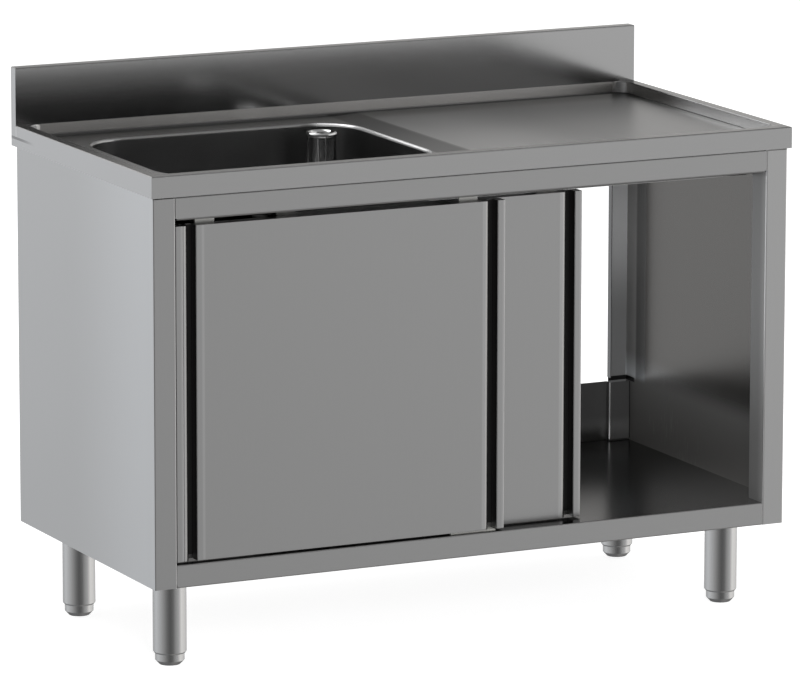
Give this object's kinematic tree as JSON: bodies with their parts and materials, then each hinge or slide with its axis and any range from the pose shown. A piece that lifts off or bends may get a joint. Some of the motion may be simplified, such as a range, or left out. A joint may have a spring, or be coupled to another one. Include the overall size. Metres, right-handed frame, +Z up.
{
  "type": "sink cabinet",
  "caption": "Stainless steel sink cabinet: sunk worktop with bowl, drainer and splashback, overlapping sliding doors, open back and round levelling legs.",
  "frame": {"origin": "on the floor, under the middle of the worktop's footprint", "axes": "+X along the worktop towards the drainer, +Y towards the splashback, +Z up"},
  "size_m": [1.2, 0.6, 0.95],
  "materials": {
    "sheet_steel": "fine brushed",
    "bowl_steel": "satin, pressed",
    "body_steel": "fine brushed",
    "door_steel": "fine brushed",
    "leg_steel": "polished",
    "bright_steel": "polished",
    "hardware": "zinc plated",
    "rubber": "matt",
    "nylon": "moulded"
  },
  "bodies": {
    "cabinet": {"worktop": "sheet_steel", "drainer_rib_left": "sheet_steel", "drainer_rib_right": "sheet_steel", "bowl": "bowl_steel", "waste_body": "bright_steel", "waste_gasket": "rubber", "waste_washer": "rubber", "waste_nut": "nylon", "side_panel_left": "body_steel", "side_panel_right": "body_steel", "top_front_rail": "body_steel", "top_rear_rail": "body_steel", "bottom_shelf": "body_steel", "shelf_rib": "body_steel", "base_rear_rail": "body_steel", "door_track": "body_steel", "door_guide": "nylon", "top_screws": "hardware", "track_screws": "hardware", "guide_screws": "hardware", "leg_socket_fl": "body_steel", "leg_tube_fl": "leg_steel", "leg_nut_fl": "hardware", "leg_socket_fr": "body_steel", "leg_tube_fr": "leg_steel", "leg_nut_fr": "hardware", "leg_socket_rl": "body_steel", "leg_tube_rl": "leg_steel", "leg_nut_rl": "hardware", "leg_socket_rr": "body_steel", "leg_tube_rr": "leg_steel", "leg_nut_rr": "hardware"},
    "front_door": {"front_door_skin": "door_steel", "front_door_back": "door_steel", "front_door_hanger_left": "hardware", "front_door_hanger_right": "hardware", "front_door_axles": "hardware", "front_door_screws": "hardware"},
    "front_roller_left": {"front_roller_left": "nylon"},
    "front_roller_right": {"front_roller_right": "nylon"},
    "rear_door": {"rear_door_skin": "door_steel", "rear_door_back": "door_steel", "rear_door_hanger_left": "hardware", "rear_door_hanger_right": "hardware", "rear_door_axles": "hardware", "rear_door_screws": "hardware"},
    "rear_roller_left": {"rear_roller_left": "nylon"},
    "rear_roller_right": {"rear_roller_right": "nylon"},
    "standpipe": {"standpipe": "bright_steel", "standpipe_plug": "rubber"},
    "foot_fl": {"foot_fl": "leg_steel"},
    "foot_fr": {"foot_fr": "leg_steel"},
    "foot_rl": {"foot_rl": "leg_steel"},
    "foot_rr": {"foot_rr": "leg_steel"}
  },
  "joints": [
    {"name": "front_door_slide", "type": "slide", "parent": "cabinet", "child": "front_door", "axis": [1, 0, 0], "range_m": [0, 0.495]},
    {"name": "rear_door_slide", "type": "slide", "parent": "cabinet", "child": "rear_door", "axis": [1, 0, 0], "range_m": [-0.1591, 0.3359]},
    {"name": "front_roller_left_spin", "type": "hinge", "parent": "front_door", "child": "front_roller_left", "pos_m": [-0.4905, -0.26, 0.7893], "axis": [0, 1, 0], "continuous": true},
    {"name": "front_roller_right_spin", "type": "hinge", "parent": "front_door", "child": "front_roller_right", "pos_m": [-0.0045, -0.26, 0.7893], "axis": [0, 1, 0], "continuous": true},
    {"name": "rear_roller_left_spin", "type": "hinge", "parent": "rear_door", "child": "rear_roller_left", "pos_m": [-0.3314, -0.235, 0.7893], "axis": [0, 1, 0], "continuous": true},
    {"name": "rear_roller_right_spin", "type": "hinge", "parent": "rear_door", "child": "rear_roller_right", "pos_m": [0.1546, -0.235, 0.7893], "axis": [0, 1, 0], "continuous": true},
    {"name": "standpipe_lift", "type": "slide", "parent": "cabinet", "child": "standpipe", "axis": [0, 0, 1], "range_m": [0, 0.27]},
    {"name": "foot_fl_level", "type": "slide", "parent": "cabinet", "child": "foot_fl", "axis": [0, 0, 1], "range_m": [-0.03, 0.01]},
    {"name": "foot_fr_level", "type": "slide", "parent": "cabinet", "child": "foot_fr", "axis": [0, 0, 1], "range_m": [-0.03, 0.01]},
    {"name": "foot_rl_level", "type": "slide", "parent": "cabinet", "child": "foot_rl", "axis": [0, 0, 1], "range_m": [-0.03, 0.01]},
    {"name": "foot_rr_level", "type": "slide", "parent": "cabinet", "child": "foot_rr", "axis": [0, 0, 1], "range_m": [-0.03, 0.01]}
  ],
  "couplings": [
    {"joint": "front_roller_left_spin", "follows": "front_door_slide", "rad_per_m": 111.11},
    {"joint": "front_roller_right_spin", "follows": "front_door_slide", "rad_per_m": 111.11},
    {"joint": "rear_roller_left_spin", "follows": "rear_door_slide", "rad_per_m": 111.11},
    {"joint": "rear_roller_right_spin", "follows": "rear_door_slide", "rad_per_m": 111.11}
  ]
}
